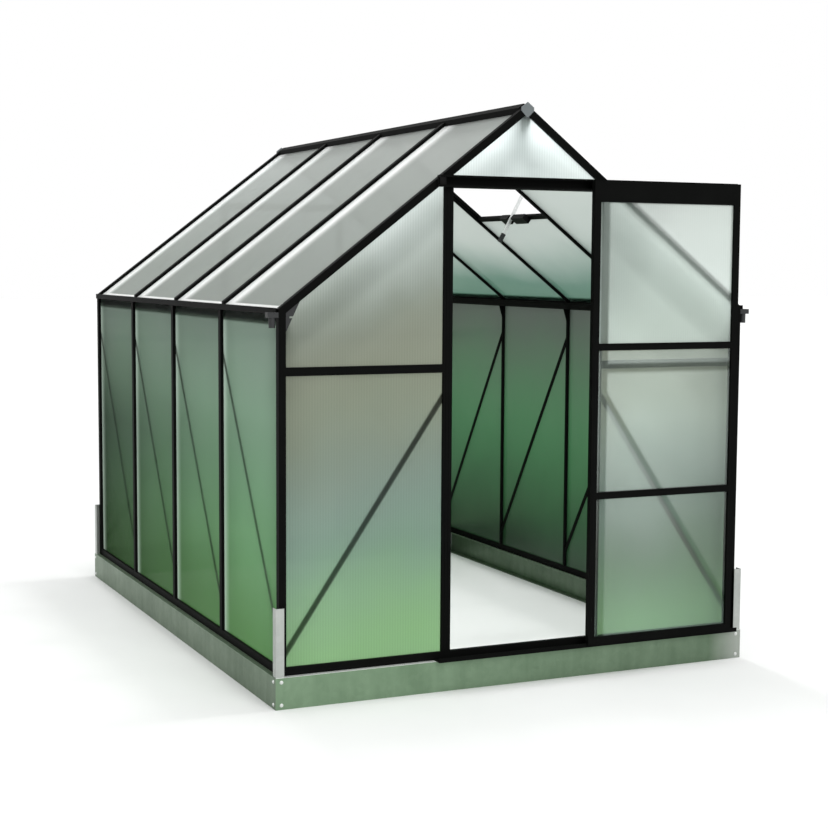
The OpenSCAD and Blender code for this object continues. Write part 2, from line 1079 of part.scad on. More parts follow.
module door_stiles() {
    color(black)
        door()
            difference() {
                for (mx = [0, 1])
                    mirror([mx, 0, 0])
                        along_z(door_bottom, door_top)
                            polygon([
                                [-door_w / 2, -door_back], [-door_w / 2, -door_front],
                                [stile_w - door_w / 2, -door_front],
                                [stile_w - door_w / 2, -door_pane_high],
                                [stile_w - door_slot - door_w / 2, -door_pane_high],
                                [stile_w - door_slot - door_w / 2, -door_pane_low],
                                [stile_w - door_w / 2, -door_pane_low],
                                [stile_w - door_w / 2, -door_back]
                            ]);
                guide_way();
            }
}

// Rail between the stiles, with a slot above, a slot below, or both
module door_rail(z, h, slot_above, slot_below) {
    low = slot_below ? [
        [-door_pane_low, 0], [-door_pane_low, door_slot], [-door_pane_high, door_slot],
        [-door_pane_high, 0]
    ] : [];
    high = slot_above ? [
        [-door_pane_high, h], [-door_pane_high, h - door_slot], [-door_pane_low, h - door_slot],
        [-door_pane_low, h]
    ] : [];
    difference() {
        along_x(stile_w - door_w / 2, door_w / 2 - stile_w)
            translate([0, z])
                polygon(concat(
                    [[-door_back, 0]], low, [[-door_front, 0], [-door_front, h]], high,
                    [[-door_back, h]]
                ));
        children();
    }
}

top_rail_z = door_top - top_rail_h;

module door_rails() {
    color(black)
        door() {
            door_rail(top_rail_z, top_rail_h, false, true);
            door_rail(door_upper_z, door_rail_h, true, true);
            door_rail(door_lower_z, door_rail_h, true, true);
            door_rail(door_bottom, door_foot_h, true, false)
                guide_way();
        }
}

// Sheets between the rails, each from the slot below it to the slot above it
module door_panes() {
    half = door_w / 2 - stile_w + bite;
    bottoms = [door_bottom + door_foot_h, door_lower_z + door_rail_h, door_upper_z + door_rail_h];
    tops = [door_lower_z, door_upper_z, top_rail_z];
    color(clear)
        door()
            for (i = [0 : len(tops) - 1])
                translate([-half, -door_mid - pane_t / 2, bottoms[i] - bite])
                    cube([2 * half, pane_t, tops[i] - bottoms[i] + 2 * bite]);
}

// Wheels that run in the track, on axles from the back of the top rail
module door_hangers() {
    color(grey)
        door()
            for (x = [-hanger_x, hanger_x])
                translate([x, -wheel_back, track_low + track_t + gap + wheel_r])
                    rotate([90, 0, 0]) {
                        cylinder(r = wheel_r, h = wheel_t, $fn = round_sides);
                        cylinder(r = axle_r, h = door_back - wheel_back, $fn = round_sides);
                    }
}

base_front();
base_back();
base_left();
base_right();
base_corner_angles();
front_sill();
back_sill();
side_sills();
corner_posts();
left_wall_bars();
right_wall_bars();
door_jambs();
back_wall_bars();
front_rails();
back_rails();
eave_beams();
roof_rests();
gutter_floors();
gutter_fronts();
gutter_outlets();
left_rafters();
right_rafters();
left_roof_bars();
right_roof_bars();
ridge_beam();
ridge_end_caps();
left_wall_braces();
right_wall_braces();
gable_braces();
gable_gussets();
eave_brackets();
door_track();
door_guide();
left_wall_panes();
right_wall_panes();
front_wall_panes();
back_wall_panes();
left_roof_panes();
right_roof_panes();
vent_sill();
vent_rails();
vent_stiles();
vent_pane();
vent_stay();
vent_peg();
door_stiles();
door_rails();
door_panes();
door_hangers();
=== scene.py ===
import math

import bpy
from mathutils import Matrix, Vector


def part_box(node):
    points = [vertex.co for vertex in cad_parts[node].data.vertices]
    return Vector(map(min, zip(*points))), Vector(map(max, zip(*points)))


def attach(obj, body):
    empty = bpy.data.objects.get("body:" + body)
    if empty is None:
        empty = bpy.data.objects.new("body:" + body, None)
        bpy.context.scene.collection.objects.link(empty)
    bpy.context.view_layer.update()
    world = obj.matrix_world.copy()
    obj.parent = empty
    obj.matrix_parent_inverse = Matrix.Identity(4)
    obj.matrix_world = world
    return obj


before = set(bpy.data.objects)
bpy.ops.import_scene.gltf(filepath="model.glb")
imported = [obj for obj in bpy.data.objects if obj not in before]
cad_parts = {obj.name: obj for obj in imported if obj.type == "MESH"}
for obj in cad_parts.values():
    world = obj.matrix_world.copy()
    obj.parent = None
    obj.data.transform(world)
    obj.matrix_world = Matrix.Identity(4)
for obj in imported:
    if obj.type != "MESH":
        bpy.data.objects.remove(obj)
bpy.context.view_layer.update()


# Studio: a pale floor under the house and a white backdrop, with soft light from the front, from behind, from
# the right and from above. The camera stands off the left front corner at eye height, where the photograph was
# taken from.
floor_size = 120.0
floor_tones = ((0.80, 0.80, 0.80, 1), (0.84, 0.84, 0.84, 1))
camera_place = (-2.74122, -6.29366, 1.49790)
camera_heading = math.radians(-24.5924)
camera_dip = math.radians(5.2764)
camera_roll = math.radians(0.3432)
camera_reach = 200.0
focal_pixels = 1613.25
picture_pixels = 828
film_width = 36.0
backdrop_tone = (1, 1, 1, 1)
fill_tone = (0.96, 1.0, 0.97, 1)
fill_strength = 0.33

camera_data = bpy.data.cameras.new("viewpoint")
camera_data.sensor_width = film_width
camera_data.lens = focal_pixels / picture_pixels * film_width
camera_data.clip_end = camera_reach
camera = bpy.data.objects.new("viewpoint", camera_data)
bpy.context.scene.collection.objects.link(camera)
camera.matrix_world = (Matrix.Translation(camera_place)
                       @ Matrix.Rotation(camera_heading, 4, "Z")
                       @ Matrix.Rotation(math.pi / 2 - camera_dip, 4, "X")
                       @ Matrix.Rotation(camera_roll, 4, "Z"))
bpy.context.scene.camera = camera
bpy.context.scene.view_settings.view_transform = "Standard"


def new_finish(name):
    """A material with its node tree cleared to one shader and one output."""
    finish = bpy.data.materials.new(name)
    finish.use_nodes = True
    tree = finish.node_tree
    tree.nodes.clear()
    shader = tree.nodes.new("ShaderNodeBsdfPrincipled")
    output = tree.nodes.new("ShaderNodeOutputMaterial")
    tree.links.new(shader.outputs["BSDF"], output.inputs["Surface"])
    return finish, tree, shader


def node(tree, kind, inputs=None, **settings):
    """One node with its settings, its inputs fed by values or by other nodes' outputs."""
    made = tree.nodes.new("ShaderNode" + kind)
    for key, value in settings.items():
        setattr(made, key, value)
    for key, value in (inputs or {}).items():
        if isinstance(value, bpy.types.NodeSocket):
            tree.links.new(value, made.inputs[key])
        else:
            made.inputs[key].default_value = value
    return made


def part_place(tree):
    """The point's place in the part's own frame, in metres."""
    return node(tree, "TexCoord").outputs["Object"]


def floor_finish():
    """Matt, pale and faintly speckled."""
    finish, tree, shader = new_finish("pale_floor")
    speckle = node(tree, "TexNoise", {"Vector": part_place(tree), "Scale": 3.0, "Detail": 3.0})
    tone = node(tree, "MixRGB", {"Fac": speckle.outputs["Fac"], "Color1": floor_tones[0],
                                 "Color2": floor_tones[1]})
    tree.links.new(tone.outputs["Color"], shader.inputs["Base Color"])
    shader.inputs["Roughness"].default_value = 0.9
    shader.inputs["Specular IOR Level"].default_value = 0.1
    return finish


bpy.ops.object.select_all(action="DESELECT")
bpy.ops.mesh.primitive_plane_add(size=floor_size, location=(0, 0, 0))
floor = bpy.context.object
floor.name = "studio_floor"
floor.data.materials.append(floor_finish())

sky = bpy.data.worlds.new("studio")
sky.use_nodes = True
bpy.context.scene.world = sky
sky_tree = sky.node_tree
sky_tree.nodes.clear()
seen = node(sky_tree, "LightPath")
backdrop = node(sky_tree, "Background", {"Color": backdrop_tone, "Strength": 1.0})
fill = node(sky_tree, "Background", {"Color": fill_tone, "Strength": fill_strength})
seen_or_shone = node(sky_tree, "Math", {0: seen.outputs["Is Camera Ray"], 1: seen.outputs["Is Glossy Ray"]},
                     operation="MAXIMUM")
shows_backdrop = node(sky_tree, "Math", {0: seen_or_shone.outputs[0], 1: seen.outputs["Is Transmission Ray"]},
                      operation="MAXIMUM")
which = node(sky_tree, "MixShader", {0: shows_backdrop.outputs[0], 1: fill.outputs[0],
                                     2: backdrop.outputs[0]})
node(sky_tree, "OutputWorld", {"Surface": which.outputs[0]})


def soft_light(name, toward, level, spread, shines=True):
    """Even light from one side: level 1 shows a matt white face that meets it squarely as white. A light that
    doesn't shine leaves no bright spot on glossy faces."""
    data = bpy.data.lights.new(name, "SUN")
    data.energy = level * math.pi
    data.angle = math.radians(spread)
    made = bpy.data.objects.new(name, data)
    made.rotation_euler = (-Vector(toward)).to_track_quat("-Z", "Y").to_euler()
    made.visible_glossy = shines
    bpy.context.scene.collection.objects.link(made)


soft_light("front_light", toward=(0.10, -0.80, 0.50), level=0.50, spread=35.0)
soft_light("back_light", toward=(0.05, 0.95, 0.18), level=0.80, spread=12.0, shines=False)
soft_light("right_light", toward=(0.95, 0.0, 0.30), level=0.60, spread=12.0, shines=False)
soft_light("top_light", toward=(0.0, 0.1, 1.0), level=0.46, spread=60.0)


# Base: four rails folded from galvanised steel sheet into channels, mitred at the corners, with the frame
# standing on their top flanges. The zinc is dull grey with soft, crystal-shaped patches and a few darker runs,
# tinted green as a painted reflection of the ground. The front rail is a lighter copy, with a painted highlight
# along its top edge, painted shade towards its right and a painted pool of light at its right end.
crystal_share = 0.06
cloud_share = 0.55
run_share = 0.35
# Painted shade along the front rail, deepening towards its right.
rail_shade_from = -0.5
rail_shade_to = 0.9
# Painted pool of light at the front rail's right end.
lit_end_from = 0.80
lit_end_to = 0.93
lit_end_share = 0.5
lit_end_tone = (0.50, 0.50, 0.49, 1)
# Painted highlight: a bright band just under the front rail's top edge.
top_highlight_from = 0.0012
top_highlight_to = 0.0004
top_highlight_tone = (0.80, 0.82, 0.80, 1)


def paint(finish, *names):
    """Puts a finish on the frame's own pieces."""
    for name in names:
        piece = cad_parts[name]
        piece.data.materials.clear()
        piece.data.materials.append(finish)


def zinc_finish(name, dark, light, metallic, top_highlight_at=None, rail_shade=1.0):
    """Galvanised steel between two tones. Where the height of a top edge is given, as on the front rail, that
    edge carries a painted highlight, the face has painted shade that deepens towards the right, and the right
    end has a painted pool of light."""
    finish, tree, shader = new_finish(name)
    place = part_place(tree)
    crystals = node(tree, "TexVoronoi", {"Vector": place, "Scale": 55.0, "Randomness": 1.0})
    crystal_tone = node(tree, "SeparateColor", {"Color": crystals.outputs["Color"]})
    clouds = node(tree, "TexNoise", {"Vector": place, "Scale": 4.0, "Detail": 6.0, "Roughness": 0.6})
    run_place = node(tree, "Mapping", {"Vector": place, "Scale": (22.0, 22.0, 3.0)})
    runs = node(tree, "TexNoise", {"Vector": run_place.outputs[0], "Scale": 1.0, "Detail": 4.0})
    patches = node(tree, "Math", {0: crystal_tone.outputs[0], 1: crystal_share}, operation="MULTIPLY")
    clouded = node(tree, "Math", {0: clouds.outputs["Fac"], 1: cloud_share, 2: patches.outputs[0]},
                   operation="MULTIPLY_ADD")
    worn = node(tree, "Math", {0: runs.outputs["Fac"], 1: run_share, 2: clouded.outputs[0]},
                operation="MULTIPLY_ADD")
    tone = node(tree, "ValToRGB", {"Fac": worn.outputs[0]})
    tone.color_ramp.elements[0].position = 0.35
    tone.color_ramp.elements[0].color = (*dark, 1)
    tone.color_ramp.elements[1].position = 0.8
    tone.color_ramp.elements[1].color = (*light, 1)
    colour = tone.outputs["Color"]
    if top_highlight_at:
        axes = node(tree, "SeparateXYZ", {"Vector": place})
        # Painted shade, darker towards the right.
        along = node(tree, "MapRange", {"Value": axes.outputs["X"], "From Min": rail_shade_from,
                                        "From Max": rail_shade_to, "To Min": 1.0, "To Max": rail_shade})
        colour = node(tree, "MixRGB", {"Fac": 1.0, "Color1": colour, "Color2": along.outputs[0]},
                      blend_type="MULTIPLY").outputs["Color"]
        # Painted pool of light at the right end.
        lit_end = node(tree, "MapRange", {"Value": axes.outputs["X"], "From Min": lit_end_from,
                                          "From Max": lit_end_to, "To Min": 0.0, "To Max": lit_end_share})
        colour = node(tree, "MixRGB", {"Fac": lit_end.outputs[0], "Color1": colour,
                                       "Color2": lit_end_tone}).outputs["Color"]
        # Painted highlight along the top edge.
        top_highlight = node(tree, "MapRange", {"Value": axes.outputs["Z"], "From Min": top_highlight_at - top_highlight_from,
                                         "From Max": top_highlight_at - top_highlight_to})
        colour = node(tree, "MixRGB", {"Fac": top_highlight.outputs[0], "Color1": colour,
                                       "Color2": top_highlight_tone}).outputs["Color"]
    tree.links.new(colour, shader.inputs["Base Color"])
    gloss = node(tree, "MapRange", {"Value": worn.outputs[0], "To Min": 0.5, "To Max": 0.36})
    tree.links.new(gloss.outputs[0], shader.inputs["Roughness"])
    dimples = node(tree, "Bump", {"Height": crystals.outputs["Distance"], "Strength": 0.12,
                                  "Distance": 0.0006})
    tree.links.new(dimples.outputs[0], shader.inputs["Normal"])
    shader.inputs["Metallic"].default_value = metallic
    return finish


# The green in both zinc tones is a painted reflection of the ground. The front rail's lighter tones are painted
# light, and the other rails are the shaded copy.
base_zinc = zinc_finish("base_zinc", (0.10, 0.15, 0.095), (0.21, 0.28, 0.20), 0.6)
front_zinc = zinc_finish("front_zinc", (0.14, 0.22, 0.135), (0.25, 0.36, 0.24), 0.6,
                         top_highlight_at=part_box("base_front")[1][2], rail_shade=0.62)
paint(base_zinc, "base_back", "base_left", "base_right")
paint(front_zinc, "base_front")


# Corner angles: galvanised steel angles inside each corner of the base, which stand up through slots in its
# top flanges, clear of the corner posts. They keep more of the zinc's first brightness than the base.
angle_zinc = zinc_finish("angle_zinc", (0.34, 0.36, 0.34), (0.54, 0.56, 0.54), 0.6)
paint(angle_zinc, "base_corner_angles")


# Base bolts: bright plated steel bolts with domed heads on flat washers, two through each leg of each corner
# angle, which draw the base's rails and the angle together. A socket in the head takes the key.
bolt_sides = 24
washer_radius = 0.0066
washer_thickness = 0.0012
washer_easing = washer_thickness * 0.3
dome_radius = 0.0048
dome_height = 0.0030
dome_easing = dome_height * 0.8
socket_rim = 0.0004
socket_depth = 0.0014
bolt_smoothing = math.radians(35)
bolt_inset = 0.021
bolt_heights = (0.0157, 0.0945)
facing = 0.9
facing_squarely = 0.99
height_slack = 0.0002


def pick_faces(piece, wanted):
    """Selects, in edit mode, the faces of a piece whose middle and normal are wanted."""
    bpy.ops.object.mode_set(mode="EDIT")
    bpy.ops.mesh.select_mode(type="FACE")
    bpy.ops.mesh.select_all(action="DESELECT")
    bpy.ops.object.mode_set(mode="OBJECT")
    for face in piece.data.polygons:
        face.select = wanted(face.center, face.normal)
    bpy.ops.object.mode_set(mode="EDIT")


def push_faces(x, y, z):
    """Extrudes the picked faces by an offset."""
    bpy.ops.mesh.extrude_region_move(TRANSFORM_OT_translate={"value": (x, y, z)})


def domed_bolt(name, finish):
    """Washer and domed head in one, standing on z = 0 at the origin."""
    bpy.ops.object.select_all(action="DESELECT")
    bpy.ops.mesh.primitive_cylinder_add(vertices=bolt_sides, radius=washer_radius, depth=washer_thickness,
                                        location=(0, 0, washer_thickness / 2))
    piece = bpy.context.object
    piece.name = name
    bpy.ops.object.transform_apply(location=True, rotation=True, scale=True)
    pick_faces(piece, lambda middle, normal: normal.z > facing)
    bpy.ops.mesh.bevel(offset=washer_easing, segments=2, affect="EDGES")
    pick_faces(piece, lambda middle, normal: normal.z > facing_squarely)
    bpy.ops.mesh.inset(thickness=washer_radius - washer_easing - dome_radius)
    push_faces(0, 0, dome_height)
    bpy.ops.mesh.bevel(offset=dome_easing, segments=4, affect="EDGES")
    top = washer_thickness + dome_height
    pick_faces(piece, lambda middle, normal: normal.z > facing_squarely and middle.z > top - height_slack)
    bpy.ops.mesh.inset(thickness=socket_rim)
    push_faces(0, 0, -socket_depth)
    bpy.ops.object.mode_set(mode="OBJECT")
    bpy.ops.object.shade_smooth_by_angle(angle=bolt_smoothing)
    piece.data.materials.append(finish)
    return piece


def fixed_copy(pattern, name, place, outward):
    """A copy of a fastener with its own mesh, set at its place with its head outward."""
    bpy.ops.object.select_all(action="DESELECT")
    copy = pattern.copy()
    copy.data = pattern.data.copy()
    copy.name = name
    bpy.context.scene.collection.objects.link(copy)
    turn = Vector(outward).to_track_quat("Z", "Y").to_matrix().to_4x4()
    copy.data.transform(Matrix.Translation(place) @ turn)
    return copy


bolt_zinc = zinc_finish("bolt_zinc", (0.62, 0.64, 0.62), (0.86, 0.87, 0.86), 0.5)
bolt_pattern = domed_bolt("base_bolt", bolt_zinc)
base_low = Vector((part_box("base_left")[0][0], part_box("base_front")[0][1], 0))
base_high = Vector((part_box("base_right")[1][0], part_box("base_back")[1][1], 0))
for corner, (x_side, y_side) in enumerate(((-1, -1), (1, -1), (1, 1), (-1, 1))):
    x_face = base_low.x if x_side < 0 else base_high.x
    y_face = base_low.y if y_side < 0 else base_high.y
    for row, height in enumerate(bolt_heights):
        gable_bolt = fixed_copy(bolt_pattern, f"base_bolt_{corner}_{row}_gable",
                                (x_face - x_side * bolt_inset, y_face, height), (0, y_side, 0))
        side_bolt = fixed_copy(bolt_pattern, f"base_bolt_{corner}_{row}_side",
                               (x_face, y_face - y_side * bolt_inset, height), (x_side, 0, 0))
        for bolt in (gable_bolt, side_bolt):
            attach(bolt, "house")
bpy.data.objects.remove(bolt_pattern)


# Wall frame: sills, corner posts, wall bars, jambs and rails, sawn from slotted aluminium extrusions and
# screwed together from inside. The powder coat is a satin black with a fine pebbled skin.
coat_shine = 0.012
coat_gloss_drift = 0.06


def powder_coat(name, dark, light, roughness):
    """Baked-on coat between two dark tones."""
    finish, tree, shader = new_finish(name)
    place = part_place(tree)
    clouds = node(tree, "TexNoise", {"Vector": place, "Scale": 9.0, "Detail": 5.0, "Roughness": 0.6})
    tone = node(tree, "MixRGB", {"Fac": clouds.outputs["Fac"], "Color1": (*dark, 1), "Color2": (*light, 1)})
    tree.links.new(tone.outputs["Color"], shader.inputs["Base Color"])
    gloss = node(tree, "MapRange", {"Value": clouds.outputs["Fac"], "To Min": roughness - coat_gloss_drift,
                                    "To Max": roughness + coat_gloss_drift})
    tree.links.new(gloss.outputs[0], shader.inputs["Roughness"])
    pebbles = node(tree, "TexNoise", {"Vector": place, "Scale": 900.0, "Detail": 2.0})
    skin = node(tree, "Bump", {"Height": pebbles.outputs["Fac"], "Strength": 0.15, "Distance": 0.0003})
    tree.links.new(skin.outputs[0], shader.inputs["Normal"])
    shader.inputs["Specular IOR Level"].default_value = coat_shine
    return finish


black_coat = powder_coat("black_coat", (0.003, 0.0032, 0.003), (0.006, 0.0063, 0.006), 0.45)
paint(black_coat, "front_sill", "back_sill", "side_sills", "corner_posts", "left_wall_bars",
      "right_wall_bars", "door_jambs", "back_wall_bars", "front_rails", "back_rails")


# Jamb ribs: two slim ribs that the extrusion die leaves down the face of each door jamb, from the sill to the
# track. They stiffen the jamb's flat face and draw fine upright lines on it.
jamb_line = 0.302
rib_spread = 0.0062
rib_width = 0.0032
rib_height = 0.0012
rib_root = 0.0002
rib_easing = rib_height * 0.4
strip_smoothing = math.radians(40)


def block(name, low, high):
    """A box between two corners, which a piece starts from."""
    bpy.ops.object.select_all(action="DESELECT")
    bpy.ops.mesh.primitive_cube_add(size=1, location=[(start + end) / 2 for start, end in zip(low, high)],
                                    scale=[end - start for start, end in zip(low, high)])
    piece = bpy.context.object
    piece.name = name
    bpy.ops.object.transform_apply(location=True, rotation=True, scale=True)
    return piece


def long_strip(name, low, high, finish, easing):
    """A straight strip between two corners, with its long edges rounded off."""
    piece = block(name, low, high)
    size = [end - start for start, end in zip(low, high)]
    run = size.index(max(size))
    bpy.ops.object.mode_set(mode="EDIT")
    bpy.ops.mesh.select_mode(type="EDGE")
    bpy.ops.mesh.select_all(action="DESELECT")
    bpy.ops.object.mode_set(mode="OBJECT")
    corners = piece.data.vertices
    for edge in piece.data.edges:
        ends = [corners[v].co for v in edge.vertices]
        edge.select = abs(ends[0][run] - ends[1][run]) > size[run] / 2
    bpy.ops.object.mode_set(mode="EDIT")
    bpy.ops.mesh.bevel(offset=easing, segments=2, affect="EDGES")
    bpy.ops.object.mode_set(mode="OBJECT")
    bpy.ops.object.shade_smooth_by_angle(angle=strip_smoothing)
    piece.data.materials.append(finish)
    return piece


jamb_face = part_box("door_jambs")[0][1]
rib_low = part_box("front_sill")[1][2]
rib_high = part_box("door_track")[0][2]
for side_name, jamb_x in (("left", -jamb_line), ("right", jamb_line)):
    for rib_name, offset in (("outer", -rib_spread), ("inner", rib_spread)):
        rib_x = jamb_x + offset
        rib = long_strip(f"jamb_rib_{side_name}_{rib_name}",
                         (rib_x - rib_width / 2, jamb_face - rib_height, rib_low),
                         (rib_x + rib_width / 2, jamb_face + rib_root, rib_high), black_coat, rib_easing)
        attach(rib, "house")


# Eaves and roof frame: eave beams with a sloped rest and a gutter shelf, rafters, roof bars and the ridge
# beam, in the same black extrusions, bolted at the corners and at the ridge.
paint(black_coat, "eave_beams", "roof_rests", "gutter_floors", "gutter_fronts", "left_rafters",
      "right_rafters", "left_roof_bars", "right_roof_bars", "ridge_beam")


# Moulded ends: plastic trays with a short pipe at the gutters' front ends and stops at their back ends, covers
# over the ends of the ridge and plates in the corners of the gables, pushed on and held by the frame's bolts.
plastic_gloss_drift = 0.05


def moulded_plastic(name, dark, light, roughness, sheen=0.5):
    """Moulded plastic between two tones, with a fine grain from the mould."""
    finish, tree, shader = new_finish(name)
    place = part_place(tree)
    clouds = node(tree, "TexNoise", {"Vector": place, "Scale": 30.0, "Detail": 4.0})
    tone = node(tree, "MixRGB", {"Fac": clouds.outputs["Fac"], "Color1": (*dark, 1), "Color2": (*light, 1)})
    tree.links.new(tone.outputs["Color"], shader.inputs["Base Color"])
    gloss = node(tree, "MapRange", {"Value": clouds.outputs["Fac"], "To Min": roughness - plastic_gloss_drift,
                                    "To Max": roughness + plastic_gloss_drift})
    tree.links.new(gloss.outputs[0], shader.inputs["Roughness"])
    shader.inputs["Specular IOR Level"].default_value = sheen
    grain = node(tree, "TexVoronoi", {"Vector": place, "Scale": 700.0})
    skin = node(tree, "Bump", {"Height": grain.outputs["Distance"], "Strength": 0.1, "Distance": 0.0003})
    tree.links.new(skin.outputs[0], shader.inputs["Normal"])
    return finish


dark_plastic = moulded_plastic("dark_plastic", (0.020, 0.021, 0.022), (0.032, 0.033, 0.034), 0.5, 0.25)
cap_plastic = moulded_plastic("cap_plastic", (0.10, 0.115, 0.12), (0.14, 0.16, 0.165), 0.45)
paint(dark_plastic, "gutter_outlets", "gable_gussets")
paint(cap_plastic, "ridge_end_caps")


# Stiffening: flat diagonal braces inside each bay and knee plates under the eaves, cut from aluminium strip,
# coated with the frame and bolted to the bars' inner flanges.
paint(black_coat, "left_wall_braces", "right_wall_braces", "gable_braces", "eave_brackets")


# Brace bolts: black domed bolts on washers, one through each end of each diagonal brace into the bar's inner
# flange, put in from inside the house.
bay = 0.622
bay_count = 4
frame_middle = (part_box("corner_posts")[0][1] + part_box("corner_posts")[1][1]) / 2
bar_lines = [frame_middle + k * bay for k in (-1, 0, 1)]
side_bar_half = 0.006
side_brace_heights = (1.1691, 0.2050)
gable_brace_ends = ((0.9030, 0.1790), (0.3080, 1.0530))
brace_thickness = 0.0025
brace_end = 0.017
bolt_black = powder_coat("bolt_black", (0.006, 0.006, 0.006), (0.012, 0.012, 0.012), 0.35)
brace_bolt_pattern = domed_bolt("brace_bolt", bolt_black)


def brace_bolts(name, top, foot, inward):
    """One bolt near each end of a brace that runs between two points of its inner face."""
    run = (Vector(foot) - Vector(top)).normalized()
    for end_name, spot in (("a", Vector(top) + run * brace_end), ("b", Vector(foot) - run * brace_end)):
        bolt = fixed_copy(brace_bolt_pattern, f"{name}_{end_name}", spot, inward)
        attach(bolt, "house")


left_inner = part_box("left_wall_braces")[1][0]
right_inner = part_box("right_wall_braces")[0][0]
brace_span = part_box("left_wall_braces")
bay_lines = [brace_span[0][1]] + bar_lines + [brace_span[1][1]]
z_top, z_foot = side_brace_heights
for number in range(bay_count):
    y_front = bay_lines[number] + (side_bar_half if number > 0 else 0)
    y_back = bay_lines[number + 1] - (side_bar_half if number < bay_count - 1 else 0)
    brace_bolts(f"left_brace_bolt_{number}", (left_inner, y_back, z_top), (left_inner, y_front, z_foot),
                (1, 0, 0))
    brace_bolts(f"right_brace_bolt_{number}", (right_inner, y_front, z_top), (right_inner, y_back, z_foot),
                (-1, 0, 0))
gable_low, gable_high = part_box("gable_braces")
(foot_x, foot_z), (top_x, top_z) = gable_brace_ends
for gable_name, y_inner, inward in (("front", gable_low[1] + brace_thickness, (0, 1, 0)),
                                    ("back", gable_high[1] - brace_thickness, (0, -1, 0))):
    for x_side in (-1, 1):
        brace_bolts(f"{gable_name}_brace_bolt_{'left' if x_side < 0 else 'right'}",
                    (x_side * top_x, y_inner, top_z), (x_side * foot_x, y_inner, foot_z), inward)
bpy.data.objects.remove(brace_bolt_pattern)


# Sheets: extruded twin-wall polycarbonate, 4 mm thick, slid into the slots of the bars with the flutes
# upright, or down the slope on the roof. The two skins and their webs frost the view and pass light on. Their
# tones are greener towards the ground as a painted reflection and paler higher up as painted light, and on the
# left wall and left roof slope a painted highlight lies beside each bar.
flute_pitch = 0.010
flute_bright = 0.04
flute_dark = 0.05
flute_cover = 0.015
tone_drift = 0.24
shade_from = -1.2
shade_to = 1.2
shade_weak_from = 0.55
shade_at_top = 0.35
# How fast the painted highlight beside each bar fades.
bar_highlight_falloff = 1.8
clear_fade = 0.002


